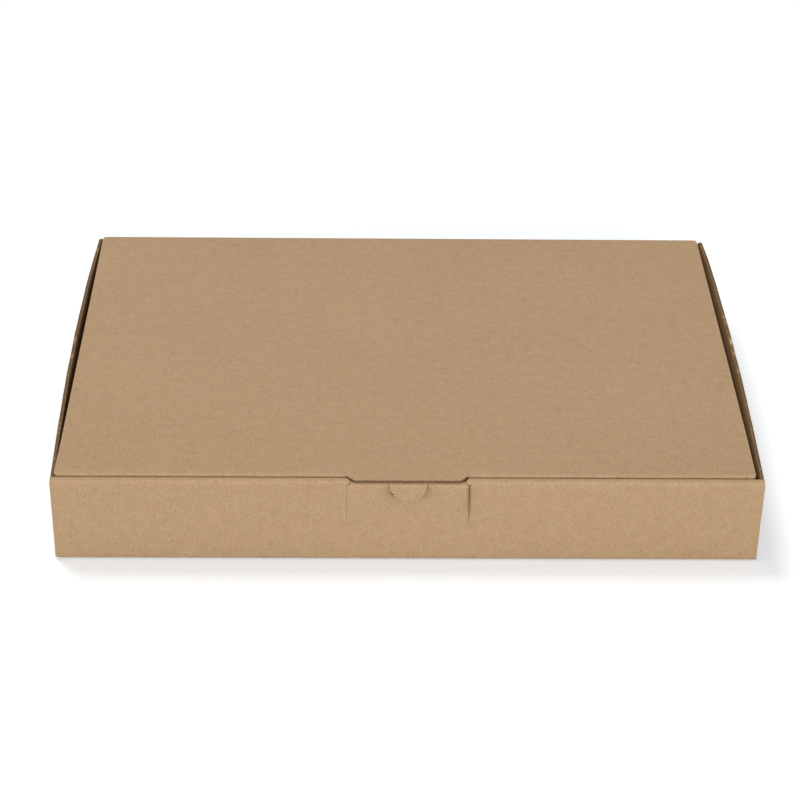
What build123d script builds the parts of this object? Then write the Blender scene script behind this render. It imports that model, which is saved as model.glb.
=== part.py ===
"""Flat mailer box of fine-flute corrugated board: a folded tray and its hinged lid.

The frame has its origin under the middle of the floor, +X to the right, +Z up and the
front wall with the thumb tab at -Y. Lengths are in millimetres, angles in degrees.
"""

import os
from math import cos, pi, radians, sin

from build123d import *

os.makedirs("parts", exist_ok=True)

# Outside of the folded box
box_width = 350.0
box_depth = 250.0
box_height = 47.0

# The board and how tightly it folds
board = 1.5
ply_gap = 0.1
corner_relief = 0.2

# Tray
side_belly = 2.8
front_ear_length = 62.0
back_ear_length = 62.0
ear_chamfer = 8.0
ear_clearance = 0.4
inner_panel_gap = 0.7
inner_panel_lift = 0.3
lock_tab_width = 34.0
lock_tab_spacing = 170.0
lock_tab_recess = 0.2
lock_slot_clearance = 0.3

# Slit tab and thumb tab in the front wall
slit_tab_width = 59.8
slit_width = 0.6
slit_length = 24.0
thumb_radius = 9.5
thumb_cut_width = 0.3

# Lid
hinge_gap = 0.2
lid_side_gap = 0.4
lid_front_gap = 0.4
lid_taper = 0.8
lid_corner_inset = 0.5
lid_corner_length = 3.0
tuck_length = 40.0
tuck_lean = 6.0
tuck_inset = 3.0
tuck_corner_radius = 12.0
tongue_base_width = 60.0
tongue_tip_width = 52.0
tongue_setback = 0.1
tongue_clearance = 0.3
tongue_cut_width = 0.3

# Faces and levels that follow from the sizes
side_face = box_width / 2
front_face = -box_depth / 2
back_face = box_depth / 2
half_board = board / 2
fold_radius = board + ply_gap
fold_reach = 2 * fold_radius
lid_underside = box_height - board
roll_back = front_face + 3 * board + 2 * ply_gap
wall_front = roll_back + corner_relief
wall_back = back_face - board - ply_gap - fold_radius
wall_bottom = fold_radius + corner_relief
front_ear_face = front_face + board + ply_gap
back_ear_face = back_face - board - ply_gap
ear_bottom = wall_bottom + corner_relief
ear_top = lid_underside - ear_clearance
inner_panel_half = side_face - board - inner_panel_gap
inner_panel_bottom = board + inner_panel_lift
slit_bottom = box_height - slit_length
slit_tab_top = lid_underside - tongue_clearance
hinge_y = back_face - half_board
hinge_z = box_height - half_board
lid_front = roll_back + lid_front_gap
lid_back_half = side_face - board - lid_side_gap
lid_front_half = lid_back_half - lid_taper
tongue_tip = front_face + tongue_setback
tongue_root = lid_front + fold_reach


def folded(*corners):
    """Section of a strip of board, folded at the corners of the line along its middle."""
    with BuildSketch() as section:
        with BuildLine():
            FilletPolyline(*corners, radius=half_board + ply_gap)
        trace(line_width=board)
    return section.sketch


def cut_box(corner, opposite):
    """Removes a box, given by two opposite corners, from the part in work."""
    with Locations(tuple((a + b) / 2 for a, b in zip(corner, opposite))):
        Box(*(abs(b - a) for a, b in zip(corner, opposite)), mode=Mode.SUBTRACT)


with BuildPart() as tray:
    # Front wall: up from the floor, rolled over the ears and down again inside
    with BuildSketch(Plane.YZ):
        add(
            folded(
                (front_face + fold_reach, half_board),
                (front_face + half_board, half_board),
                (front_face + half_board, box_height - half_board),
                (roll_back - half_board, box_height - half_board),
                (roll_back - half_board, inner_panel_bottom),
            )
        )
    extrude(amount=side_face, both=True)

    # The inner panel fits between the side walls, and the floor is narrower than the front
    for side in (-1, 1):
        cut_box(
            (side * inner_panel_half, roll_back - board - ply_gap, board),
            (side * side_face, roll_back, lid_underside),
        )
        cut_box(
            (side * (side_face - fold_radius), front_face + fold_radius, 0),
            (side * side_face, front_face + fold_reach, board),
        )

    # Slit tab, rolled one board lower so that the lid's tongue lies over it
    with BuildSketch(Plane.XZ.offset(-front_face)):
        with Locations((0, box_height)):
            Rectangle(slit_tab_width + 2 * slit_width, 2 * slit_length)
    extrude(amount=front_face - roll_back, mode=Mode.SUBTRACT)
    with BuildSketch(Plane.YZ):
        add(
            folded(
                (front_face + half_board, slit_bottom),
                (front_face + half_board, slit_tab_top - half_board),
                (roll_back - half_board, slit_tab_top - half_board),
                (roll_back - half_board, slit_bottom),
            )
        )
    extrude(amount=slit_tab_width / 2, both=True)

    # Half-moon thumb tab, cut free along its arc and held by the fold above it
    with BuildSketch(Plane.XZ.offset(-front_face)):
        with Locations((0, slit_tab_top)):
            Circle(thumb_radius)
            Circle(thumb_radius - thumb_cut_width, mode=Mode.SUBTRACT)
            Rectangle(
                2 * thumb_radius,
                thumb_radius,
                align=(Align.CENTER, Align.MIN),
                mode=Mode.SUBTRACT,
            )
    extrude(amount=-board, mode=Mode.SUBTRACT)

    # Floor, turned up along both sides
    with BuildSketch(Plane.XZ):
        add(
            folded(
                (half_board - side_face, wall_bottom),
                (half_board - side_face, half_board),
                (side_face - half_board, half_board),
                (side_face - half_board, wall_bottom),
            )
        )
    extrude(amount=back_face - fold_radius - corner_relief, both=True)

    # Side walls, whose free top edges belly outwards between the folded corners
    for side in (-1, 1):
        outer = side * side_face
        inner = side * (side_face - board)
        belly = side * side_belly
        middle = (wall_front + wall_back) / 2
        with BuildSketch(Plane.XY.offset(wall_bottom)):
            with BuildLine():
                Polyline(
                    (outer, wall_front),
                    (outer, wall_back),
                    (inner, wall_back),
                    (inner, wall_front),
                    close=True,
                )
            make_face()
        with BuildSketch(Plane.XY.offset(box_height)):
            with BuildLine():
                ThreePointArc((outer, wall_front), (outer + belly, middle), (outer, wall_back))
                Line((outer, wall_back), (inner, wall_back))
                ThreePointArc((inner, wall_back), (inner + belly, middle), (inner, wall_front))
                Line((inner, wall_front), (outer, wall_front))
            make_face()
        loft(ruled=True)

    # Corner folds, with the ears behind the front panel and in front of the back wall
    with BuildSketch(Plane.XY.offset(ear_bottom)):
        add(
            folded(
                (side_face - front_ear_length, front_ear_face + half_board),
                (side_face - half_board, front_ear_face + half_board),
                (side_face - half_board, wall_front),
            )
        )
        add(
            folded(
                (side_face - half_board, wall_back - board),
                (side_face - half_board, back_ear_face - half_board),
                (side_face - back_ear_length, back_ear_face - half_board),
            )
        )
        mirror(about=Plane.YZ)
    extrude(amount=ear_top - ear_bottom)
    ear_ends = tray.edges(Select.LAST).filter_by(Axis.Y)
    ear_ends = ear_ends.filter_by(lambda edge: abs(edge.center().X) < side_face - fold_reach)
    chamfer(ear_ends, length=ear_chamfer)

    # Back wall, up to the lid's crease
    with BuildSketch(Plane.YZ):
        add(
            folded(
                (back_face - fold_reach, half_board),
                (back_face - half_board, half_board),
                (back_face - half_board, lid_underside - hinge_gap),
            )
        )
    extrude(amount=side_face - fold_radius, both=True)

    # Locking tabs of the inner panel, down into slots along the front of the floor
    for place in (-lock_tab_spacing / 2, lock_tab_spacing / 2):
        slot_half = lock_tab_width / 2 + lock_slot_clearance
        cut_box(
            (place - slot_half, roll_back - board - lock_slot_clearance, 0),
            (place + slot_half, roll_back + lock_slot_clearance, board),
        )
        with Locations((place, roll_back - half_board, lock_tab_recess)):
            Box(
                lock_tab_width,
                board,
                inner_panel_bottom - lock_tab_recess,
                align=(Align.CENTER, Align.CENTER, Align.MIN),
            )

with BuildPart() as lid:
    # Panel, a little narrower towards the front and with its rear corners cut back
    with BuildSketch(Plane.XY.offset(lid_underside)):
        with BuildLine():
            Polyline(
                (0, hinge_y),
                (lid_back_half - lid_corner_inset, hinge_y),
                (lid_back_half, hinge_y - lid_corner_length),
                (lid_front_half, lid_front + fold_radius),
                (0, lid_front + fold_radius),
                close=True,
            )
        make_face()
        mirror(about=Plane.YZ)
    extrude(amount=board)

    # Rounded edge along the crease that the lid turns on
    with BuildSketch(Plane.YZ):
        with Locations((hinge_y, hinge_z)):
            Circle(half_board)
    extrude(amount=lid_back_half - lid_corner_inset, both=True)

    # Front fold and tuck flap, which leans inwards to clear the roll as the lid swings
    with BuildSketch(Plane.YZ):
        add(
            folded(
                (tongue_root, box_height - half_board),
                (lid_front + half_board, box_height - half_board),
                (
                    lid_front + half_board + tuck_length * sin(radians(tuck_lean)),
                    box_height - half_board - tuck_length * cos(radians(tuck_lean)),
                ),
            )
        )
    extrude(amount=lid_front_half, both=True)
    for side in (-1, 1):
        cut_box(
            (side * (lid_front_half - tuck_inset), lid_front, box_height - 2 * tuck_length),
            (side * lid_front_half, lid_front + tuck_length, box_height - fold_radius),
        )
    tuck_edge = lid.faces().sort_by(Axis.Z)[0]
    fillet(tuck_edge.edges().sort_by(SortBy.LENGTH)[:2], radius=tuck_corner_radius)

    # Opening that the tongue leaves in the fold and the flap when the flap folds down
    fold_length = pi / 2 * (fold_radius - half_board)
    opening_depth = fold_radius + (lid_front + fold_radius - tongue_tip) - fold_length
    with BuildSketch(Plane.XZ.offset(-lid_front)):
        with BuildLine():
            Polyline(
                (-tongue_base_width / 2 - tongue_cut_width, box_height),
                (tongue_base_width / 2 + tongue_cut_width, box_height),
                (tongue_base_width / 2 + tongue_cut_width, box_height - fold_radius),
                (tongue_tip_width / 2 + tongue_cut_width, box_height - opening_depth),
                (-tongue_tip_width / 2 - tongue_cut_width, box_height - opening_depth),
                (-tongue_base_width / 2 - tongue_cut_width, box_height - fold_radius),
                close=True,
            )
        make_face()
    extrude(amount=lid_front - tongue_root, mode=Mode.SUBTRACT)

    # Tongue, which stays in the panel's plane and ends flush with the front wall
    with BuildSketch(Plane.XY.offset(lid_underside)):
        with BuildLine():
            Polyline(
                (-tongue_base_width / 2, tongue_root),
                (-tongue_base_width / 2, lid_front),
                (-tongue_tip_width / 2, tongue_tip),
                (tongue_tip_width / 2, tongue_tip),
                (tongue_base_width / 2, lid_front),
                (tongue_base_width / 2, tongue_root),
                close=True,
            )
        make_face()
    extrude(amount=board)

tray.part.label = "tray"
lid.part.label = "lid"
export_step(tray.part, "parts/tray.step")
export_step(lid.part, "parts/lid.step")
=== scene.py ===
"""Looks of the flat mailer box: a blank of corrugated board is cut flat, scored, and folded.

The blank is worked out in millimetres: u runs across the flutes, v along them, and n is the
height above the middle of the board, towards the liner that ends up inside the box.
"""

import math

import bmesh
import bpy
import numpy as np
from mathutils import Matrix, Vector
from mathutils.geometry import delaunay_2d_cdt


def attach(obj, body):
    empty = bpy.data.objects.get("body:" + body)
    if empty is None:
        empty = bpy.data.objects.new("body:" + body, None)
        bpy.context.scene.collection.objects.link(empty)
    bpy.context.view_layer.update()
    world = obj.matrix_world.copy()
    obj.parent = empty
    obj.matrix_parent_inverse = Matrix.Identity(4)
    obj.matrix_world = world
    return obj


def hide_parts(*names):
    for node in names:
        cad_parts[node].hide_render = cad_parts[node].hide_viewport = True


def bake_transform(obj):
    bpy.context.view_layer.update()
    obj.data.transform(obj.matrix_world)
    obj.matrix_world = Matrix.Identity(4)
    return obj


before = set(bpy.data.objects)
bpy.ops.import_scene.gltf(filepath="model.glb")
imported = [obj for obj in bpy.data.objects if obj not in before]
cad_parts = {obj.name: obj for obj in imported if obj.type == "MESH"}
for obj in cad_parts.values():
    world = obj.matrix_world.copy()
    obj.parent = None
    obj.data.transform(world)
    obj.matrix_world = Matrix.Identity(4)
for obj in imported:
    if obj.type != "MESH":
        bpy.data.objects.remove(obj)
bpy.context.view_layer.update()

MM = 0.001

# The board, the radius it bends by, and how much of the blank a square fold takes up
board = 1.5
half_board = board / 2
liner = 0.22
medium = 0.16
flute_pitch = 3.4
bend = 0.55
quarter = bend * math.pi / 2
fold_face = half_board + bend

# Folds: how much thinner the board is crushed, and how far beside the crease
crease_pinch = 0.28
crease_reach = 0.8

# Cut edges: how deep they are hollow between the liners, and how far liners and medium fray
groove_depth = 1.3
tongue_groove_depth = 0.8
crushed_depth = 0.3
shut_depth = 0.04
burr = 0.05
lip_round = 0.06
medium_end = 0.12

# Where the rings of a cut edge lie on its own map: from liner to liner, and round the medium
edge_rows = (0.0, 0.1, 0.4, 1.7, 2.8, 4.1, 4.4, 4.6)
medium_rows = (5.2, 6.5, 6.8, 8.1)

# How far apart the blank's points lie: along scores, plain cuts, cuts that show the fluting and
# slits, and in the open sheet
score_step = 4.0
cut_step = 3.0
ripple_step = 0.43
slit_step = 1.2
sheet_spacing = 13.0
fold_guards = (0.5, 1.4, 3.0)

# A piece's materials, and how far the inside liner's map lies from the outside one's
outside, inside, cut = 0, 1, 2
inside_shift = 1000

# Levels and faces of the folded box
box_width = 350.0
box_depth = 250.0
box_top = 47.0
lid_middle = box_top - half_board
fold_level = half_board + bend
roll_level = lid_middle - bend
panel_half = box_width / 2
floor_half = panel_half - fold_face
front_fold = fold_face - box_depth / 2
back_fold = box_depth / 2 - fold_face
inner_half = 172.8
back_half = 173.4
crease_half = 171.8
roll_depth = 5.2
back_top = back_fold + quarter + roll_level - fold_level

# Side walls and ears
side_shortfall = 0.13
side_top = floor_half + quarter + box_top - side_shortfall - fold_level
wall_front = -119.6
wall_back = 121.8
ear_face = 123.4
ear_fold = ear_face - fold_face
ear_length = 61.7
ear_tip = ear_fold + ear_length
ear_chamfer = 8.0
ear_height = 43.5
ear_gap = 0.14
ear_near = panel_half + ear_gap
ear_split = ear_near - ear_gap / 2
ear_far = floor_half + quarter + ear_height

# Side walls' free tops: how far they lean out towards the back, how far they belly, and how far
# they are drawn in at the rear corner, over which share of their length
left_wall = (0.65, 2.3, 0.6, 0.1)
right_wall = (1.1, 1.95, 0.75, 0.07)
most_bulge = 2.72

# Pale torn nicks in them: side, place from front to back, reach, paleness
torn_nicks = (
    (1, 10, 2.6, 2.0),
    (1, 36, 1.6, 1.0),
    (1, 30, 1.2, 0.9),
    (1, -2, 1.3, 1.0),
    (1, -20, 1.4, 0.9),
    (-1, 8, 1.8, 1.3),
    (-1, -9, 1.4, 1.1),
    (-1, 108, 2.0, 0.9),
)

# Along the front wall's strip of the blank, outwards from the floor
inner_foot_level = 1.8
lock_foot_level = 0.25
roll_start = front_fold - quarter - (roll_level - fold_level)
roll_end = roll_start - quarter - (roll_depth - 2 * fold_face)
inner_start = roll_end - quarter
inner_foot = inner_start - (roll_level - inner_foot_level)
lock_foot = inner_start - (roll_level - lock_foot_level)
lock_half = 17.0
lock_place = 85.0
slot_front = -121.6
slot_back = -119.5
slot_clearance = 0.3

# Slit tab: its slits, and how its rows of the blank move down to where it is folded
tab_drop = 1.65
slit_half = 30.3
right_slit_top_half = 29.85
slit_level = 21.0
slit_front = front_fold - quarter - (slit_level - fold_level)
slit_inner = inner_start - (roll_level - slit_level)
shoulder = 1.5
shoulder_rows = [roll_end, roll_start - 1.6, roll_start - 0.5, roll_start + 0.4]
blank_rows = [slit_inner, inner_start, roll_end, roll_start - quarter, roll_start, slit_front]
lowered_rows = [slit_inner + 2 * tab_drop, *(row + tab_drop for row in blank_rows[1:5]), slit_front]

# The slits' widths at heights of the front wall, from the top down to where each one ends
left_slit = ((roll_level, 0.1), (42, 0.1), (37, 0.22), (23.1, 0.1))
right_slit = ((38.4, 0.42), (34, 0.36), (27, 0.28), (20.9, 0.13))

# Thumb tab, whose middle lies on the slit tab's fold, and the dents round it and at the slit
thumb_radius = 9.4
thumb_middle = roll_start + 0.5
thumb_cut = 0.2
thumb_proud = 0.35
dent_depth = 2.0
dent_width = 2.7
rim_depth = 0.5
rim_width = 1.0

# Lid
lid_back_half = 172.6
lid_front_half = 172.55
tuck_lean = math.radians(6)
tuck_turn = math.pi / 2 + tuck_lean
tuck_face = -118.65
tuck_length = 39.0
tuck_fold = tuck_face + bend * math.tan(tuck_turn / 2)
tuck_start = tuck_fold - bend * tuck_turn
tuck_foot = tuck_start - tuck_length
tuck_half = 169.3
tuck_round = 12.0
tongue_middle = 0.45
tongue_root_half = 29.8
tongue_tip_half = 26.0
tongue_root = -119.4
tongue_tip = -123.05
tongue_cut = 0.12

# How far the lid lies askew to the left, from its front to its back, and how far it sags
skew_rows = [-112, -89, -52, back_fold]
skew_shifts = [1.05, 0.75, 0.65, 0.25]
sag_depth = 0.3


def hump(x, middle, reach):
    """A smooth hump of height 1 over the middle."""
    return np.exp(-(((x - middle) / reach) ** 2))


def ripple(s, seed, length):
    """A smooth irregular line from -1 to 1 along s, with bumps of about the given length."""
    draw = np.random.RandomState(seed)
    total = np.zeros_like(s)
    highest = 2.15
    for share in (1.0, 0.6, 0.35, 0.2):
        wave = length * draw.uniform(0.7, 1.3) * share
        total += share * np.sin(2 * math.pi * s / wave + draw.uniform(0, 2 * math.pi))
    return total / highest


def walk(corners, step, closed=False):
    """Points along a line through the corners, no further apart than step."""
    points = []
    ends = corners[1:] + corners[:1] if closed else corners[1:]
    for a, b in zip(corners, ends):
        count = max(1, math.ceil(math.dist(a, b) / step))
        points += [
            (a[0] + (b[0] - a[0]) * i / count, a[1] + (b[1] - a[1]) * i / count)
            for i in range(count)
        ]
    return points if closed else points + [corners[-1]]


def round_corner(corner, start, end, radius, count=24):
    """Points of a quarter circle that rounds a square corner, from one side to the other."""
    a = Vector(corner) + radius * (Vector(start) - Vector(corner)).normalized()
    b = Vector(corner) + radius * (Vector(end) - Vector(corner)).normalized()
    middle = a + b - Vector(corner)
    turns = [math.pi / 2 * i / count for i in range(count + 1)]
    return [
        tuple(middle + (a - middle) * math.cos(t) + (b - middle) * math.sin(t)) for t in turns
    ]


def across(level, half):
    """A score line across the blank at one v, as far out on both sides."""
    return walk([(-half, level), (half, level)], score_step)


def fold_rows(start, turn=math.pi / 2, way=1, parts=6):
    """Places of the lines that a fold needs: the bend itself and guards on both sides."""
    arc = bend * turn
    rows = [-guard for guard in reversed(fold_guards)]
    rows += [arc * i / parts for i in range(parts + 1)]
    rows += [arc + guard for guard in fold_guards]
    return [start + way * row for row in rows]


def inside_of(points, loops, batch=4000):
    """Whether each point lies on the sheet, by counting the cuts that lie beyond it."""
    hit = np.zeros(len(points), bool)
    for loop in loops:
        a = np.array(loop)
        b = np.roll(a, -1, axis=0)
        for first in range(0, len(points), batch):
            x, y = points[first : first + batch].T[:, :, None]
            spans = (a[:, 1] > y) != (b[:, 1] > y)
            rise = np.where(b[:, 1] == a[:, 1], 1, b[:, 1] - a[:, 1])
            crossing = a[:, 0] + (y - a[:, 1]) * (b[:, 0] - a[:, 0]) / rise
            hit[first : first + batch] ^= (spans & (x < crossing)).sum(1) % 2 == 1
    return hit


def edge_loops(faces):
    """The loops of points round a sheet's edge, each with the sheet on its left."""
    sides = {(int(f[i]), int(f[(i + 1) % 3])) for f in faces for i in range(3)}
    follows = {a: b for a, b in sides if (b, a) not in sides}
    loops = []
    while follows:
        first = min(follows)
        loop = [first]
        while follows[loop[-1]] != first:
            loop.append(follows.pop(loop[-1]))
        follows.pop(loop[-1])
        loops.append(np.array(loop))
    return loops


def cut_sheet(outline, holes, lines):
    """Cuts a flat sheet: its points, its triangles and the loops of its edge."""
    points, edges = [], []
    for line, closed in [(c, True) for c in (outline, *holes)] + [(c, False) for c in lines]:
        first, count = len(points), len(line)
        points += line
        edges += [(first + i, first + (i + 1) % count) for i in range(count - (not closed))]
    low, high = np.min(outline, axis=0), np.max(outline, axis=0)
    u, v = np.meshgrid(
        *(np.arange(a + sheet_spacing / 2, b, sheet_spacing) for a, b in zip(low, high))
    )
    stagger = (np.arange(len(u)) % 2)[:, None] * sheet_spacing / 2
    points += list(zip((u + stagger).ravel().tolist(), v.ravel().tolist()))
    found = delaunay_2d_cdt([Vector(p) for p in points], edges, [], 0, 1e-4)
    at = np.array([tuple(p) for p in found[0]])
    faces = np.array([f for f in found[2] if len(f) == 3])
    a, b, c = (at[faces[:, i]] for i in range(3))
    area = (b[:, 0] - a[:, 0]) * (c[:, 1] - a[:, 1]) - (b[:, 1] - a[:, 1]) * (c[:, 0] - a[:, 0])
    faces[area < 0] = faces[area < 0][:, ::-1]
    kept = inside_of((a + b + c) / 3, [outline, *holes]) & (np.abs(area) > 1e-7)
    used, order = np.unique(faces[kept], return_inverse=True)
    faces = order.reshape(-1, 3)
    return at[used], faces, edge_loops(faces)


def inward(at):
    """For each point of a closed loop, the step of one millimetre into the sheet."""
    before = at - np.roll(at, 1, axis=0)
    after = np.roll(at, -1, axis=0) - at
    lefts = [
        np.stack([-d[:, 1], d[:, 0]], 1) / np.linalg.norm(d, axis=1)[:, None]
        for d in (before, after)
    ]
    middle = lefts[0] + lefts[1]
    middle /= np.maximum(np.linalg.norm(middle, axis=1), 0.2)[:, None]
    lean = np.maximum((middle * lefts[1]).sum(1), 0.6)
    return middle / lean[:, None]


def bent(p, axis, way, start, turn=math.pi / 2):
    """Bends what lies past start, towards the inside liner."""
    reach = way * (p[:, axis] - start)
    angle = np.clip(reach / bend, 0, turn)
    beyond = np.maximum(reach - bend * turn, 0)
    radius = bend - p[:, 2]
    past = reach > 0
    out = p.copy()
    run = radius * np.sin(angle) + beyond * np.cos(angle)
    rise = bend - radius * np.cos(angle) + beyond * np.sin(angle)
    out[past, axis] = start + way * run[past]
    out[past, 2] = rise[past]
    return out


def slit_line(v, side, inset=shoulder):
    """How far out the slits run: up the wall, in along the roll's shoulder, and back."""
    right = np.interp(v, [roll_start, slit_front], [right_slit_top_half, slit_half])
    straight = np.where(side > 0, right, slit_half)
    return straight - inset * np.interp(v, shoulder_rows, [0, 1, 1, 0])


def new_mesh(name, places, faces, skins):
    """A mesh from places in millimetres, its faces, and which material each face has."""
    mesh = bpy.data.meshes.new(name)
    mesh.from_pydata((places * MM).tolist(), [], faces)
    mesh.polygons.foreach_set("material_index", skins)
    return mesh


def keep_values(mesh, name, values):
    """Keeps one value for each point of a mesh."""
    mesh.attributes.new(name, "FLOAT", "POINT").data.foreach_set("value", values)


def face_corners(mesh):
    """The point that each corner of each face lies on."""
    corners = np.zeros(len(mesh.loops), int)
    mesh.loops.foreach_get("vertex_index", corners)
    return corners


def keep_map(mesh, spread):
    """Keeps where each corner of each face lies on the flat sheet."""
    layer = mesh.uv_layers.new(name="sheet")
    layer.uv.foreach_set("vector", (spread * MM).astype(np.float32).ravel())


def finish_piece(mesh):
    """Turns the faces outwards, keeps the cut edges crisp and puts the piece in the scene."""
    work = bmesh.new()
    work.from_mesh(mesh)
    bmesh.ops.recalc_face_normals(work, faces=work.faces)
    work.to_mesh(mesh)
    work.free()
    mesh.shade_smooth()
    mesh.set_sharp_from_angle(angle=math.radians(40))
    piece = bpy.data.objects.new(mesh.name, mesh)
    bpy.context.scene.collection.objects.link(piece)
    return piece


def cut_edge_rings(base, thin, number, place, groove):
    """One cut edge: six rings round its groove, four round the medium, how crushed it is, which
    also sets its painted shade, and its length.
    """
    step = inward(base)
    length = np.cumsum(np.linalg.norm(base - np.roll(base, 1, axis=0), axis=1))
    deep, crushed = groove(base)
    fray = 0.04 * ripple(length, 11 + number, 5.0) + 0.03 * ripple(length, 57 + number, 1.6)
    lip = thin - lip_round
    inner = thin - liner
    crest = inner - medium / 2

    def moved(depth):
        return base + step * np.broadcast_to(depth, len(base))[:, None]

    def ring(depth, height):
        return place(base, moved(depth), np.broadcast_to(height, len(base)))

    def wave(depth):
        return crest * np.sin(2 * math.pi * moved(depth)[:, 0] / flute_pitch)

    torn = np.minimum(medium_end + 0.12 * ripple(length, 91 + number, 2.3), deep * 0.8)
    end = deep + medium_end
    rings = [
        ring(-burr, -lip),
        ring(-burr - fray, -inner),
        ring(deep, -inner),
        ring(deep, inner),
        ring(-burr + fray, inner),
        ring(-burr, lip),
        ring(torn, wave(torn) - medium / 2),
        ring(end, wave(end) - medium / 2),
        ring(end, wave(end) + medium / 2),
        ring(torn, wave(torn) + medium / 2),
    ]
    return rings, crushed, length


def board_mesh(name, sheet, place, creases, groove, dent_painted_shade=None):
    """Turns a flat sheet into folded board: two liners, and hollow cut edges with fluting."""
    flat, triangles, loops = sheet
    count = len(flat)
    tightness = hump(creases(flat), 0, crease_reach)
    thin = half_board - crease_pinch * tightness
    places = [place(flat, flat, -thin), place(flat, flat, thin)]
    wear_and_painted_light = [tightness, tightness]
    liner_map = [flat, flat]
    edge_map = [np.zeros((count, 2)), np.zeros((count, 2))]
    faces = [triangles[:, ::-1], triangles + count]
    skins = [np.full(len(triangles), outside), np.full(len(triangles), inside)]
    total = 2 * count
    for number, loop in enumerate(loops):
        base, size = flat[loop], len(loop)
        rings, crushed, length = cut_edge_rings(base, thin[loop], number, place, groove)
        rows = total + np.arange(len(rings) * size).reshape(-1, size)
        for strips in ([loop, *rows[:6], loop + count], rows[[6, 7, 8, 9, 6]]):
            for a, b in zip(strips, strips[1:]):
                faces.append(np.stack([a, np.roll(a, -1), np.roll(b, -1), b], 1))
                skins.append(np.full(size, cut))
        places += rings
        wear_and_painted_light += [crushed] * len(rings)
        liner_map += [base] * len(rings)
        laid = [np.stack([length, np.full(size, row)], 1) for row in edge_rows + medium_rows]
        edge_map[0][loop] = laid.pop(0)
        edge_map[1][loop] = laid.pop(6)
        edge_map += laid
        total += size * len(rings)
    skins = np.concatenate(skins)
    mesh = new_mesh(
        name, np.concatenate(places), [f for part in faces for f in part.tolist()], skins
    )
    # The crease value lightens the liner along folds, partly rubbing and partly a painted
    # highlight, and darkens crushed cut edges with painted shade
    keep_values(mesh, "crease", np.concatenate(wear_and_painted_light))
    # Painted shade on the outside liner, kept as the "pressed" value: how much darker each point is
    # drawn at the dents, where it would lie in shade
    pressed = np.zeros(total)
    if dent_painted_shade:
        pressed[:count] = dent_painted_shade(flat)
    keep_values(mesh, "pressed", pressed)
    corners = face_corners(mesh)
    skin_of = np.repeat(skins, [len(p.vertices) for p in mesh.polygons])
    spread = np.concatenate(liner_map)[corners]
    spread[skin_of == inside, 1] += inside_shift
    spread[skin_of == cut] = np.concatenate(edge_map)[corners][skin_of == cut]
    keep_map(mesh, spread)
    return finish_piece(mesh)


def mirrored(points):
    """The same points on the left half, in the order that keeps walking round the blank."""
    return [(-u, v) for u, v in reversed(points)]


def tray_outline():
    """The tray's blank, from the middle of the inner panel's foot by the right to the back."""
    front = [
        (0, inner_foot),
        (lock_place - lock_half, inner_foot),
        (lock_place - lock_half, lock_foot),
        (lock_place + lock_half, lock_foot),
        (lock_place + lock_half, inner_foot),
        (inner_half, inner_foot),
        (inner_half, inner_start - 0.4),
        (panel_half, inner_start + 0.6),
        (panel_half, front_fold - 0.5),
        (floor_half + 0.2, front_fold + 0.6),
        (floor_half + 0.2, wall_front),
        (ear_near, wall_front),
        (ear_near, ear_chamfer - ear_tip),
        (ear_near + ear_chamfer, -ear_tip),
    ]
    side = [
        (ear_far - ear_chamfer, -ear_tip),
        (ear_far, ear_chamfer - ear_tip),
        (ear_far, 0.2 - ear_fold),
        (side_top - 0.5, wall_front - 0.2),
        (side_top, wall_front + 0.4),
        (side_top, wall_back - 1.6),
        (side_top - 0.5, wall_back - 0.4),
        (side_top - 1.1, ear_fold + quarter + 0.2),
        (ear_far, ear_fold + quarter + 0.6),
        (ear_far, ear_tip - ear_chamfer),
        (ear_far - ear_chamfer, ear_tip),
    ]
    back = [
        (ear_near + ear_chamfer, ear_tip),
        (ear_near, ear_tip - ear_chamfer),
        (ear_near, wall_back),
        (floor_half + 0.1, wall_back),
        (floor_half + 0.1, back_fold - 0.6),
        (back_half, back_fold),
        (back_half, back_top - 3.0),
        (crease_half, back_top),
        (0, back_top),
    ]
    right = walk(front, cut_step)[:-1]
    right += walk([front[-1], side[0]], ripple_step)[:-1]
    right += walk(side, cut_step)[:-1]
    right += walk([side[-1], back[0]], ripple_step)[:-1]
    right += walk(back, cut_step)
    return right + mirrored(right[1:-1])


def wall_row(height):
    """The row of the blank that comes to lie at a height of the front wall's outside."""
    return front_fold - quarter - (height - fold_level)


def slit_hole(side, widths):
    """The hole that a slit leaves, from behind the roll to its foot."""
    rows = [wall_row(height) for height, _ in widths]
    way_down = [(0, row) for row in (slit_inner, inner_start, *shoulder_rows, rows[-1])]
    v = np.array([row for _, row in walk(way_down, slit_step)])
    half = np.interp(v, rows, [width for _, width in widths]) / 2
    middle = slit_line(v, side)
    near = [(side * u, row) for u, row in zip(middle - half, v)]
    far = [(side * u, row) for u, row in zip(middle + half, v)]
    return near + far[::-1]


def thumb_line(radius, turns):
    """An arc round the thumb tab's middle, as it has to be cut for it to be round once folded."""
    u, rows = radius * np.cos(turns), thumb_middle + radius * np.sin(turns)
    return list(zip(u.tolist(), np.interp(rows, lowered_rows, blank_rows).tolist()))


def thumb_hole():
    """The cut round the half-moon, pushed open a little at its lower left."""
    turns = np.radians(np.linspace(3.2, 176.8, 65))
    opened = 1.6 * hump(np.degrees(turns), 143, 6) + 0.25 * hump(np.degrees(turns), 88, 30)
    inner = thumb_radius - thumb_cut / 2 - 0.3 * opened
    outer = thumb_radius + thumb_cut / 2 + 0.7 * opened
    lines = []
    for radius in (inner, outer):
        arc = thumb_line(radius, turns)
        ends = [[(u, v - rise) for rise in (0.55, 1.1, 1.65)] for u, v in (arc[0], arc[-1])]
        lines.append(ends[0][::-1] + arc + ends[1])
    return lines[0] + lines[1][::-1]


def thumb_arcs():
    """Lines round the half-moon, close together where the board is pressed in."""
    turns = np.radians(np.linspace(2, 178, 48))
    return [thumb_line(radius, turns) for radius in (7.5, 8.8, 9.9, 10.5, 11.2, 12.0, 13.2, 15.0)]


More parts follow.
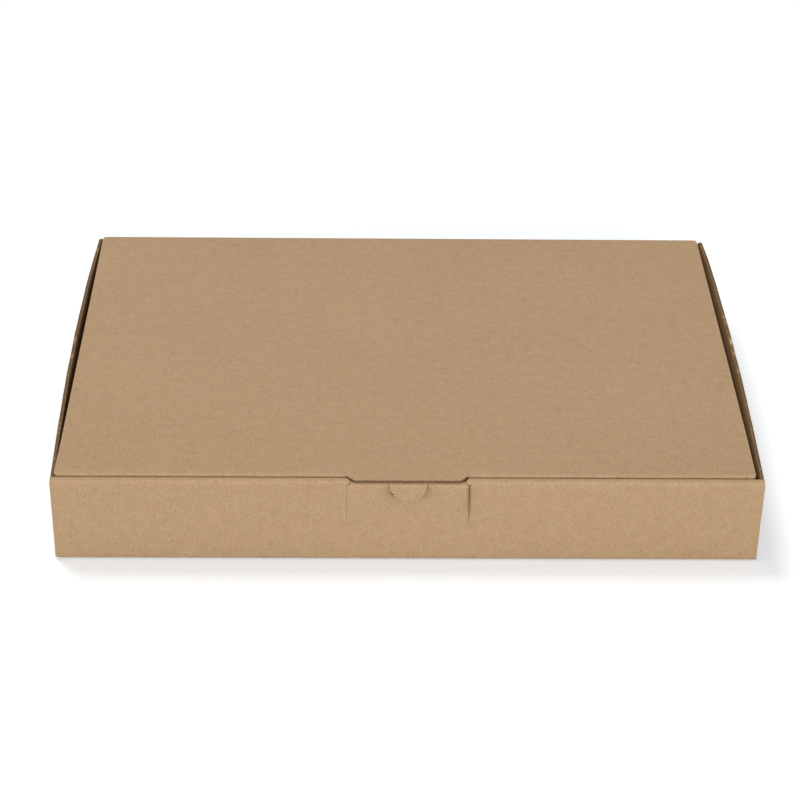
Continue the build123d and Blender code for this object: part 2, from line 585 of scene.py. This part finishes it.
def thumb_place(base):
    """Where each point lies round the folded thumb tab: radius, turn, and rows down from it."""
    down = np.interp(base[:, 1], blank_rows, lowered_rows) - thumb_middle
    radius = np.hypot(base[:, 0], np.maximum(down, 0))
    return radius, np.degrees(np.arctan2(down, base[:, 0])), down


def thumb_press(base):
    """How far the board round the thumb tab is pressed in, from 0 to 1."""
    radius, turn, _ = thumb_place(base)
    near = np.exp(-np.abs(radius - thumb_radius) / dent_width)
    near *= np.interp(base[:, 1], [roll_end, roll_start - quarter], [0, 1])
    around = hump(turn, 146, 32) + 0.95 * hump(turn, 32, 32) + 0.3 * hump(turn, 90, 30)
    pressed = (radius > thumb_radius) & (base[:, 1] > roll_end) & (base[:, 1] < slit_front)
    return np.where(pressed, near * around, 0)


def rim_press(base):
    """How far the board beside the right slit is pressed in, from 0 to 1."""
    gap = np.abs(slit_line(base[:, 1], 1) - base[:, 0])
    foot = np.clip((slit_front - 2 - base[:, 1]) / 12, 0, 1)
    beside = (base[:, 1] > roll_start) & (base[:, 1] < slit_front) & (gap < 4)
    return np.where(beside, foot * hump(gap, 0, rim_width), 0)


def tray_dent_painted_shade(base):
    """How much painted shade darkens the tray's outside liner round the thumb tab and beside the
    right slit, where the dents would be in shade.
    """
    return thumb_press(base) + 1.5 * rim_press(base)


def fold_tray(base, at, n):
    """Where points of the tray's blank come to lie in the folded tray."""
    p = np.stack([at[:, 0], at[:, 1], n], 1)
    u, v, side = np.abs(base[:, 0]), base[:, 1], np.sign(base[:, 0])
    # Points short of a fold stay in place, so a group may begin a little before its fold
    wide = u > ear_split
    front = (v < front_fold + 0.3) & ~wide
    back = (v > back_fold - 0.3) & ~wide
    walls = (u > floor_half - 4) & ~front & ~back
    for way in (-1, 1):
        ears = wide & (way * v > ear_fold - 3)
        p[ears] = bent(p[ears], 1, way, way * ear_fold)
    for way in (-1, 1):
        half = walls & (side == way)
        p[half] = bent(p[half], 0, way, way * floor_half)
    # The slit tab rolls lower, and is spread at the shoulder so that its slits stay narrow
    reach = slit_line(v, side)
    tab = front & (u < reach) & (v > slit_inner) & (v < slit_front)
    p[tab, 1] = np.interp(p[tab, 1], blank_rows, lowered_rows)
    spread = np.clip((u - 20) / (reach - 20), 0, 1)
    p[tab, 0] += (side * spread * (slit_line(v, side, 0) - reach))[tab]
    for group, drop in ((front & ~tab, 0), (tab, tab_drop)):
        for start in (roll_end + drop, roll_start + drop, front_fold):
            p[group] = bent(p[group], 1, -1, start)
    p[back] = bent(p[back], 1, 1, back_fold)
    p[:, 2] += half_board
    return settle_tray(base, p)


def settle_tray(base, p):
    """What handling does to the folded tray: bulging walls, a bowed front, dents at the thumb."""
    x, y, z = p.T.copy()
    u, v = np.abs(base[:, 0]), base[:, 1]
    walls = (u > floor_half - 1) & (np.abs(x) > 100) & (np.abs(v) < ear_tip + 1)
    walls &= ~((u < ear_split) & (np.abs(v) > ear_fold + 0.9))
    run = np.clip((y - wall_front) / (wall_back - wall_front), 0, 1)
    arch = np.sin(math.pi * run)
    lean, belly, drawn_in, corner = (
        np.where(x > 0, right, left) for left, right in zip(left_wall, right_wall)
    )
    bulge = lean * run + belly * arch + 0.12 * ripple(y, 5, 60.0) * arch
    bulge -= drawn_in * hump(run, 1, corner)
    lift = np.clip(z - fold_level, 0, None) / (box_top - fold_level)
    p[walls, 0] += (np.sign(x) * np.minimum(bulge, most_bulge) * lift)[walls]
    front = (v < front_fold - 3) & (v > roll_start) & (u < panel_half + 0.1)
    height = np.clip((z - fold_level) / (roll_level - fold_level), 0, 1)
    uneven = 0.22 + 0.12 * ripple(x, 3, 210.0) + 0.2 * hump(x, 0, 45)
    bow = np.sin(math.pi * height) * uneven
    p[front, 1] += bow[front]
    radius, _, down = thumb_place(base)
    moon = front & (radius < thumb_radius)
    p[moon, 1] -= np.clip(thumb_proud * down / thumb_radius, 0, bow)[moon]
    p[:, 1] += dent_depth * thumb_press(base)
    p[:, 1] += rim_depth * rim_press(base)
    return p


def tray_creases(at):
    """How far each point of the tray's blank lies from the middle of the nearest crease."""
    u, v = np.abs(at[:, 0]), at[:, 1]
    middle = quarter / 2
    front = [np.abs(v - (start - middle)) for start in (front_fold, roll_start, roll_end)]
    back = [np.abs(v - start - middle) for start in (back_fold, back_top)]
    ear = np.abs(np.abs(v) - ear_fold - middle)
    side = np.where(np.abs(v) < ear_fold, np.abs(u - floor_half - middle), 99.0)
    return np.minimum(side, np.where(u > ear_split, ear, np.min(front + back, axis=0)))


def tray_groove(base):
    """How hollow the tray's cut edges are, and how crushed, which is below 0 in a pale nick."""
    u, v = np.abs(base[:, 0]), base[:, 1]
    wall_top = u > side_top - 0.7
    roll_side = (u > panel_half - 0.1) & (v < roll_start + 6) & (v > inner_start)
    depth = np.where(wall_top | roll_side, crushed_depth, groove_depth)
    depth = np.where(v > back_top - 0.5, shut_depth, depth)
    crushed = 1 - depth / groove_depth
    for side, place, reach, paleness in torn_nicks:
        near = wall_top & (side * base[:, 0] > 0)
        crushed -= np.where(near, paleness * hump(v, place, reach), 0)
    return depth, crushed


def make_tray():
    """The folded tray, as one piece of board."""
    lines = []
    for start in (front_fold, roll_start, roll_end):
        lines += [across(v, panel_half + 1) for v in fold_rows(start, way=-1)]
    lines += [across(v, back_half + 1) for v in (*fold_rows(back_fold), back_top - 0.8)]
    for way in (-1, 1):
        for u in fold_rows(way * floor_half, way=way):
            lines.append(walk([(u, wall_front - 3), (u, wall_back + 3)], score_step))
        near, far = way * (ear_near - 0.05), way * (side_top + 1)
        for end in (-1, 1):
            for v in fold_rows(end * ear_fold, way=end):
                lines.append(walk([(near, v), (far, v)], score_step))
    lines += thumb_arcs()
    rows = walk([(0, roll_start), (0, slit_front - 2)], 2.0)
    for inset in (-1.3, -0.8, -0.4, 0.4, 0.8, 1.3):
        lines.append([(float(slit_line(v, 1)) - inset, v) for _, v in rows])
    holes = [slit_hole(-1, left_slit), slit_hole(1, right_slit), thumb_hole()]
    for place in (-lock_place, lock_place):
        low, high = place - lock_half - slot_clearance, place + lock_half + slot_clearance
        slot = [(low, slot_front), (high, slot_front), (high, slot_back), (low, slot_back)]
        holes.append(walk(slot, cut_step, closed=True))
    sheet = cut_sheet(tray_outline(), holes, lines)
    return board_mesh("tray_board", sheet, fold_tray, tray_creases, tray_groove, tray_dent_painted_shade)


def lid_outline():
    """The lid's blank, from the middle of the flap's foot by the right to the crease."""
    foot = (tuck_half, tuck_foot)
    right = walk([(0, tuck_foot), (tuck_half - tuck_round, tuck_foot)], ripple_step)[:-1]
    right += round_corner(foot, (0, tuck_foot), (tuck_half, 0), tuck_round)
    rest = [
        (tuck_half, tuck_foot + tuck_round),
        (tuck_half, tuck_start - 2.4),
        (tuck_half + 0.7, tuck_start - 0.9),
        (lid_front_half - 0.9, tuck_start + 0.1),
        (lid_front_half, tuck_fold + 0.6),
        (lid_back_half, back_fold - 2.6),
        (crease_half, back_fold),
        (0, back_fold),
    ]
    right += walk(rest, cut_step)[1:]
    return right + mirrored(right[1:-1])


def tongue_hole():
    """The cut round the tongue, which frees it from the flap."""
    lines = []
    for grown in (0, tongue_cut):
        root, tip = tongue_root_half + grown, tongue_tip_half + grown
        corners = [(-root, tuck_fold), (-root, tongue_root), (-tip, tongue_tip - grown)]
        corners += mirrored(corners)
        lines.append(walk([(tongue_middle + u, v) for u, v in corners], ripple_step))
    return lines[0] + lines[1][::-1]


def on_tongue(at):
    """Whether each point of the lid's blank belongs to the tongue."""
    u, v = np.abs(at[:, 0] - tongue_middle), at[:, 1]
    rows = [tongue_tip - tongue_cut, tongue_root]
    limit = np.interp(v, rows, [tongue_tip_half, tongue_root_half])
    return (u < limit + tongue_cut / 2) & (v > tongue_tip - tongue_cut / 2)


def fold_lid(base, at, n):
    """Where points of the lid's blank come to lie when the box is shut."""
    p = np.stack([at[:, 0], at[:, 1], n], 1)
    flap = ~on_tongue(base) & (base[:, 1] < tuck_fold + 2)
    p[flap] = bent(p[flap], 1, -1, tuck_fold, tuck_turn)
    p[:, 0] -= np.interp(base[:, 1], skew_rows, skew_shifts)
    p[:, 2] = lid_middle - p[:, 2]
    x, y = p[:, 0], p[:, 1]
    over_width, over_depth = (
        np.cos(math.pi * np.clip(share, -0.5, 0.5)) for share in (x / box_width, y / box_depth)
    )
    sag = sag_depth * over_width * over_depth
    p[:, 2] -= sag * (0.8 + 0.2 * ripple(x + 0.6 * y, 8, 170.0))
    return p


def lid_creases(at):
    """How far each point of the lid's blank lies from the middle of the nearest crease."""
    v = at[:, 1]
    front = np.where(on_tongue(at), 99.0, np.abs(v - (tuck_fold + tuck_start) / 2))
    return np.minimum(front, np.abs(v - back_fold - quarter / 2))


def lid_groove(base):
    """How hollow the lid's cut edges are, and how crushed: shut at the crease."""
    u, v = np.abs(base[:, 0]), base[:, 1]
    tongue = (u < tongue_root_half + 1) & (v < tuck_fold + 1) & (v > tongue_tip - 0.05)
    depth = np.where(tongue, tongue_groove_depth, groove_depth)
    depth = np.where(v > back_fold - 0.3, shut_depth, depth)
    return depth, 1 - depth / groove_depth


def make_lid():
    """The lid with its tuck flap and tongue, as one piece of board."""
    rows = (*fold_rows(tuck_fold, tuck_turn, -1), back_fold - 0.8)
    sheet = cut_sheet(lid_outline(), [tongue_hole()], [across(v, panel_half) for v in rows])
    return board_mesh("lid_board", sheet, fold_lid, lid_creases, lid_groove)


def make_crease(name, path, shift, skin):
    """One liner of the crease between back wall and lid, as a thin strip along it."""
    columns = np.linspace(-crease_half, crease_half, 205)
    front = np.array(path)
    section = np.concatenate([front, front[::-1] + np.array(shift)])
    size = len(section)
    faces, skins = [], []
    for i in range(len(columns) - 1):
        for j in range(size):
            k = (j + 1) % size
            faces.append((i * size + j, (i + 1) * size + j, (i + 1) * size + k, i * size + k))
            skins.append(skin if j < len(front) - 1 else cut)
    last = (len(columns) - 1) * size
    faces += [tuple(range(size)), tuple(range(last + size - 1, last - 1, -1))]
    skins += [cut, cut]
    places = np.array([(x, y, z) for x in columns for y, z in section])
    mesh = new_mesh(name, places, faces, skins)
    # Full crease value: the liner gets the full rubbed band with its painted highlight, and the cut
    # faces the darkest painted shade
    keep_values(mesh, "crease", np.ones(len(places)))
    ends = ((0, quarter), (quarter, 0))
    level = np.concatenate([np.linspace(start, end, len(front)) for start, end in ends])
    spread = np.stack([np.repeat(columns, size), np.tile(back_top + level, len(columns))], 1)
    keep_map(mesh, spread[face_corners(mesh)])
    return finish_piece(mesh)


tray = make_tray()
lid = make_lid()

# Crease between the back wall and the lid: the outer liner rounds it, the inner one is pinched
outer_radius = bend + half_board - crease_pinch
outer_path = [
    (back_fold + outer_radius * math.cos(t), roll_level + outer_radius * math.sin(t))
    for t in np.linspace(0, math.pi / 2, 9)
]
inner_reach = bend - half_board + crease_pinch
inner_path = [
    (back_fold + inner_reach * (1 - t), roll_level + inner_reach * t) for t in np.linspace(0, 1, 9)
]
crease_outer = make_crease("crease_outer_liner", outer_path, (-0.2, -0.2), outside)
crease_inner = make_crease("crease_inner_liner", inner_path, (0.2, 0.2), inside)


def put(tree, kind, inputs=None, **settings):
    """Places a node. An input that is another node's output is linked, any other is set."""
    made = tree.nodes.new("ShaderNode" + kind)
    for name, value in settings.items():
        setattr(made, name, value)
    for name, value in (inputs or {}).items():
        if isinstance(value, bpy.types.NodeSocket):
            tree.links.new(value, made.inputs[name])
        else:
            made.inputs[name].default_value = value
    return made


def reckon(tree, operation, *values):
    """A Math node's result."""
    return put(tree, "Math", dict(enumerate(values)), operation=operation).outputs[0]


def scaled(tree, vector, factor):
    """A vector or colour, times a number."""
    return put(tree, "VectorMath", {0: vector, "Scale": factor}, operation="SCALE").outputs[0]


def joined(tree, operation, first, second):
    """Two vectors or colours, added or multiplied."""
    return put(tree, "VectorMath", {0: first, 1: second}, operation=operation).outputs[0]


def ranged(tree, value, low, high, at_low, at_high, **settings):
    """A value carried over from one range to another, and kept within it."""
    inputs = {0: value, 1: low, 2: high, 3: at_low, 4: at_high}
    return put(tree, "MapRange", inputs, **settings).outputs[0]


def noise(tree, place, scale, detail, roughness=0.5):
    """Smooth noise from 0 to 1."""
    inputs = {"Vector": place, "Scale": scale, "Detail": detail, "Roughness": roughness}
    return put(tree, "TexNoise", inputs, noise_dimensions="2D").outputs[0]


def spots(tree, place, scale, chance, randomness=1.0):
    """Scattered spots: how far off the nearest one lies, and whether chance picks it."""
    inputs = {"Vector": place, "Scale": scale, "Randomness": randomness}
    cells = put(tree, "TexVoronoi", inputs, voronoi_dimensions="2D").outputs
    drawn = put(tree, "SeparateColor", {0: cells["Color"]}).outputs[0]
    return cells["Distance"], reckon(tree, "LESS_THAN", drawn, chance)


def new_group(name, inputs, outputs):
    """An empty node group with its named sockets: (tree, its inputs, its output node)."""
    tree = bpy.data.node_groups.new(name, "ShaderNodeTree")
    for direction, sockets in (("INPUT", inputs), ("OUTPUT", outputs)):
        for socket, (kind, value) in sockets.items():
            made = tree.interface.new_socket(
                name=socket, in_out=direction, socket_type="NodeSocket" + kind
            )
            if value is not None:
                made.default_value = value
    return tree, tree.nodes.new("NodeGroupInput").outputs, tree.nodes.new("NodeGroupOutput")


def kraft_group():
    """Unbleached paper: clouds, mottling, fibres that lie across the flutes, and bark specks."""
    tree, given, out = new_group(
        "kraft_paper",
        {
            "Sheet": ("Vector", None),
            "Tone": ("Color", (0.46, 0.31, 0.18, 1)),
            "Grain": ("Color", (0.39, 0.31, 0.23, 1)),
            "Clouds": ("Float", 0.09),
            "Mottling": ("Float", 0.1),
            "Fibres": ("Float", 0.2),
            "Specks": ("Float", 0.14),
        },
        {"Colour": ("Color", None), "Roughness": ("Float", None), "Height": ("Float", None)},
    )

    def uneven(scale, stretch, detail, roughness):
        laid = joined(tree, "MULTIPLY", given["Sheet"], stretch)
        return reckon(tree, "SUBTRACT", noise(tree, laid, scale, detail, roughness), 0.5)

    clouds = uneven(0.012, (0.8, 1, 1), 2, 0.5)
    mottling = uneven(0.23, (0.75, 1, 1), 5, 0.68)
    fibres = uneven(1.15, (0.68, 1.15, 1), 5, 0.75)
    shade = reckon(tree, "MULTIPLY_ADD", clouds, given["Clouds"], 1.0)
    shade = reckon(tree, "MULTIPLY_ADD", mottling, given["Mottling"], shade)
    shade = reckon(tree, "MULTIPLY_ADD", fibres, given["Fibres"], shade)
    for scale, chance, amount in ((0.24, 0.06, -1.4), (0.5, 0.05, -1.0), (0.13, 0.04, 0.6)):
        distance, picked = spots(tree, given["Sheet"], scale, chance)
        spot = ranged(
            tree, distance, 0.1 * scale, 0.9 * scale, 1.0, 0.0, interpolation_type="SMOOTHSTEP"
        )
        spot = reckon(tree, "MULTIPLY", spot, picked)
        strength = reckon(tree, "MULTIPLY", given["Specks"], amount)
        shade = reckon(tree, "MULTIPLY_ADD", spot, strength, shade)
    grain = scaled(tree, given["Grain"], reckon(tree, "SUBTRACT", shade, 1.0))
    colour = joined(tree, "ADD", given["Tone"], grain)
    tree.links.new(colour, out.inputs["Colour"])
    tree.links.new(reckon(tree, "MULTIPLY_ADD", fibres, 0.25, 0.82), out.inputs["Roughness"])
    tree.links.new(reckon(tree, "MULTIPLY_ADD", mottling, 0.6, fibres), out.inputs["Height"])
    return tree


def washboard_group():
    """The fluting as it shows through a liner."""
    tree, given, out = new_group(
        "washboard",
        {"Sheet": ("Vector", None), "Pitch": ("Float", flute_pitch)},
        {"Height": ("Float", None)},
    )
    u = put(tree, "SeparateXYZ", {0: given["Sheet"]}).outputs[0]
    turns = reckon(tree, "DIVIDE", u, given["Pitch"])
    angle = reckon(tree, "MULTIPLY", turns, 2 * math.pi)
    tree.links.new(reckon(tree, "SINE", angle), out.inputs["Height"])
    return tree


def scuff_and_painted_highlight_group():
    """Rubbed paper along a crease, which also serves as a painted highlight on the fold, broken up
    by the crushed flutes under it.
    """
    tree, given, out = new_group(
        "crease_scuff_and_painted_highlight",
        {"Sheet": ("Vector", None), "Crease": ("Float", 0.0), "Flutes": ("Float", 0.0)},
        {"Mask": ("Float", None)},
    )
    breaks = noise(tree, given["Sheet"], 0.35, 3)
    breaks = reckon(tree, "MULTIPLY_ADD", given["Flutes"], 0.08, breaks)
    mask = ranged(tree, breaks, 0.25, 0.7, 0.35, 1.0)
    tree.links.new(reckon(tree, "MULTIPLY", mask, given["Crease"]), out.inputs["Mask"])
    return tree


kraft, washboard, scuff_and_painted_highlight = kraft_group(), washboard_group(), scuff_and_painted_highlight_group()


def new_material(name):
    """A material with nothing in it."""
    made = bpy.data.materials.new(name)
    made.use_nodes = True
    made.node_tree.nodes.clear()
    return made, made.node_tree


def sheet_place(tree):
    """Where a point lies on the flat sheet, in millimetres."""
    return scaled(tree, put(tree, "UVMap", uv_map="sheet").outputs[0], 1 / MM)


def kept_value(tree, name):
    """A value that the mesh keeps for each point."""
    return put(tree, "Attribute", attribute_name=name).outputs["Fac"]


def grain_colour(tone):
    """What a dark fibre takes from each channel of a tone, so that it looks browner, not greyer."""
    red, green, blue = (channel ** 0.58 for channel in tone[:3])
    return (tone[1] * red / green, tone[1], tone[1] * blue / green, 1)


def paper(tree, sheet, tone, **amounts):
    """Kraft paper of a tone, with its own amounts of fibres, mottling or specks."""
    inputs = {"Sheet": sheet, "Tone": tone, "Grain": grain_colour(tone), **amounts}
    return put(tree, "Group", inputs, node_tree=kraft).outputs


def finish_paper(tree, colour, roughness, gloss, height):
    """The surface that shows a paper's colour and roughness, and its height in millimetres."""
    bump = put(tree, "Bump", {"Height": height, "Distance": MM, "Strength": 1.0})
    shader = put(
        tree,
        "BsdfPrincipled",
        {
            "Base Color": colour,
            "Roughness": roughness,
            "Specular IOR Level": gloss,
            "Normal": bump.outputs[0],
        },
    )
    put(tree, "OutputMaterial", {"Surface": shader.outputs[0]})


def liner_material(name, tone, flute_height, fibres, mottling, gloss):
    """A kraft liner: the flutes faintly show, creases are rubbed lighter with a painted highlight,
    and the dents are darkened with painted shade.
    """
    made, tree = new_material(name)
    sheet = sheet_place(tree)
    crease = kept_value(tree, "crease")
    kraft_paper = paper(tree, sheet, tone, Fibres=fibres, Mottling=mottling)
    flutes = put(tree, "Group", {"Sheet": sheet}, node_tree=washboard).outputs["Height"]
    inputs = {"Sheet": sheet, "Crease": crease, "Flutes": flutes}
    rubbed_with_painted_highlight = put(tree, "Group", inputs, node_tree=scuff_and_painted_highlight).outputs["Mask"]
    # Lighter along creases: partly rubbed paper, partly a painted highlight on the folds
    rubbed_and_painted_shading = reckon(tree, "MULTIPLY_ADD", rubbed_with_painted_highlight, 0.05, 1.0)
    # Painted shade: darker round the thumb tab and beside the right slit, where the dents would be
    # in shade
    rubbed_and_painted_shading = reckon(tree, "MULTIPLY_ADD", kept_value(tree, "pressed"), -0.26, rubbed_and_painted_shading)
    colour = scaled(tree, kraft_paper["Colour"], rubbed_and_painted_shading)
    ridges = reckon(tree, "MULTIPLY", flutes, reckon(tree, "MULTIPLY_ADD", crease, 1.2, 1.0))
    height = reckon(tree, "MULTIPLY", ridges, flute_height)
    height = reckon(tree, "MULTIPLY_ADD", kraft_paper["Height"], 0.03, height)
    finish_paper(tree, colour, kraft_paper["Roughness"], gloss, height)
    return made


def edge_material():
    """A raw cut through the board: fuzzy, darker where it is crushed, partly crushed fibres and
    partly painted shade of the shut flute hollows, and pale where torn.
    """
    made, tree = new_material("cut_edge")
    sheet = sheet_place(tree)
    fuzz = paper(tree, sheet, (0.43, 0.27, 0.14, 1), Fibres=0.9, Mottling=0.5, Specks=0.0)
    crushed = kept_value(tree, "crease")
    stretched = joined(tree, "MULTIPLY", sheet, (0.22, 0.5, 1))
    distance, picked = spots(tree, stretched, 1.0, 0.25, 0.6)
    nick = reckon(tree, "MULTIPLY", ranged(tree, distance, 0.05, 0.32, 0.8, 0.0), picked)
    # Crushed edges are drawn darker, partly from crushed fibres and partly as painted shade of the
    # shut flute hollows; pale nicks lighten them
    crushed_shade_and_nicks = reckon(tree, "MULTIPLY_ADD", reckon(tree, "SUBTRACT", nick, 0.68), crushed, 1.0)
    crush_darkened = scaled(tree, fuzz["Colour"], crushed_shade_and_nicks)
    bared = reckon(tree, "MULTIPLY", reckon(tree, "MINIMUM", crushed, 0.0), -1.0)
    colour = joined(tree, "ADD", crush_darkened, scaled(tree, (-0.04, 0.05, 0.07), bared))
    finish_paper(tree, colour, 0.95, 0.1, reckon(tree, "MULTIPLY", fuzz["Height"], 0.12))
    return made


outside_liner = liner_material("kraft_outside", (0.455, 0.300, 0.169, 1), 0.004, 0.9, 0.29, 0.25)
inside_liner = liner_material("kraft_inside", (0.43, 0.243, 0.113, 1), 0.007, 0.8, 0.2, 0.04)
cut_edge = edge_material()

for piece in (tray, lid, crease_outer, crease_inner):
    for material in (outside_liner, inside_liner, cut_edge):
        piece.data.materials.append(material)

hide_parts("tray")
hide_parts("lid")
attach(tray, "tray")
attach(lid, "lid")
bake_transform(crease_outer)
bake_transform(crease_inner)


def seen_ray(tree):
    """1 for a ray that shows its target in the picture, straight, mirrored or through glass."""
    path = put(tree, "LightPath").outputs
    relayed = reckon(tree, "MAXIMUM", path["Is Glossy Ray"], path["Is Transmission Ray"])
    return reckon(tree, "MAXIMUM", path["Is Camera Ray"], relayed)


def make_floor(reach=4.0, level=-0.0002):
    """A white floor that shows the box's shadow, and is evenly white further off."""
    mesh = bpy.data.meshes.new("floor")
    corners = ((-reach, -reach), (reach, -reach), (reach, reach), (-reach, reach))
    mesh.from_pydata([(x, y, level) for x, y in corners], [], [(0, 1, 2, 3)])
    made, tree = new_material("white_floor")
    around = put(tree, "TexCoord").outputs["Object"]
    distance = put(tree, "VectorMath", {0: around}, operation="LENGTH").outputs["Value"]
    fade = ranged(tree, distance, 0.26, 0.5, 0.0, 1.0, interpolation_type="SMOOTHSTEP")
    matt = put(tree, "BsdfDiffuse", {"Color": (0.55, 0.55, 0.55, 1)})
    shaded = put(tree, "BsdfDiffuse", {"Color": (1.03, 1.02, 1.01, 1)})
    glow = put(tree, "Emission", {"Color": (0.17, 0.21, 0.237, 1), "Strength": 1.0})
    pale = put(tree, "AddShader", {0: shaded.outputs[0], 1: glow.outputs[0]})
    white = put(tree, "Emission", {"Color": (1, 1, 1, 1), "Strength": 1.0})
    far = put(tree, "MixShader", {0: fade, 1: pale.outputs[0], 2: white.outputs[0]})
    mixed = put(tree, "MixShader", {0: seen_ray(tree), 1: matt.outputs[0], 2: far.outputs[0]})
    put(tree, "OutputMaterial", {"Surface": mixed.outputs[0]})
    mesh.materials.append(made)
    ground = bpy.data.objects.new("floor", mesh)
    bpy.context.scene.collection.objects.link(ground)
    return ground


def make_sky():
    """A sky that is white where it is seen, and a soft grey light on the object."""
    world = bpy.data.worlds.new("studio")
    world.use_nodes = True
    tree = world.node_tree
    tree.nodes.clear()
    strength = ranged(tree, seen_ray(tree), 0.0, 1.0, 0.42, 1.0)
    sky = put(tree, "Background", {"Color": (1, 1, 1, 1), "Strength": strength})
    put(tree, "OutputWorld", {"Surface": sky.outputs[0]})
    return world


def standing(place, side, upright, back):
    """A thing's placement, from where it stands and its own three directions."""
    turned = Matrix((side, upright, back)).transposed().to_4x4()
    return Matrix.Translation(place) @ turned


def softbox(name, place, target, size, power):
    """A square studio lamp, aimed at a point."""
    data = bpy.data.lights.new(name, "AREA")
    data.shape = "RECTANGLE"
    data.size, data.size_y = size
    data.energy = power
    lamp = bpy.data.objects.new(name, data)
    back = (Vector(place) - Vector(target)).normalized()
    side = Vector((0, 1, 0)).cross(back).normalized()
    lamp.matrix_world = standing(place, side, back.cross(side), back)
    bpy.context.scene.collection.objects.link(lamp)


def make_camera(place, pitch, yaw, roll, lens):
    """The camera, from its place in metres, its three angles and its focal length."""
    flat = math.cos(pitch)
    forward = Vector((math.sin(yaw) * flat, math.cos(yaw) * flat, -math.sin(pitch)))
    level = Vector((math.cos(yaw), -math.sin(yaw), 0))
    upright = level.cross(forward)
    right = math.cos(roll) * level + math.sin(roll) * upright
    up = math.cos(roll) * upright - math.sin(roll) * level
    data = bpy.data.cameras.new("camera")
    data.lens = lens
    data.sensor_width = 36.0
    data.clip_start = 0.01
    made = bpy.data.objects.new("camera", data)
    made.matrix_world = standing(place, right, up, -forward)
    bpy.context.scene.collection.objects.link(made)
    return made


floor = make_floor()

bpy.context.scene.world = make_sky()
softbox("front_softbox", (0.25, -2.6, 0.8), (0, 0, 0.02), (1.8, 1.0), 47)
softbox("top_softbox", (-1.2, 1.5, 3.97), (0, 0, 0.02), (1.4, 1.6), 78)

# Camera at the photograph's viewing angle
view_angles = (math.radians(a) for a in (32.705, 1.337, 0.991))
view_place = Vector((-25.70, -1018.43, 668.73)) * MM
bpy.context.scene.camera = make_camera(view_place, *view_angles, 100.25)
bpy.context.scene.view_settings.view_transform = "Standard"
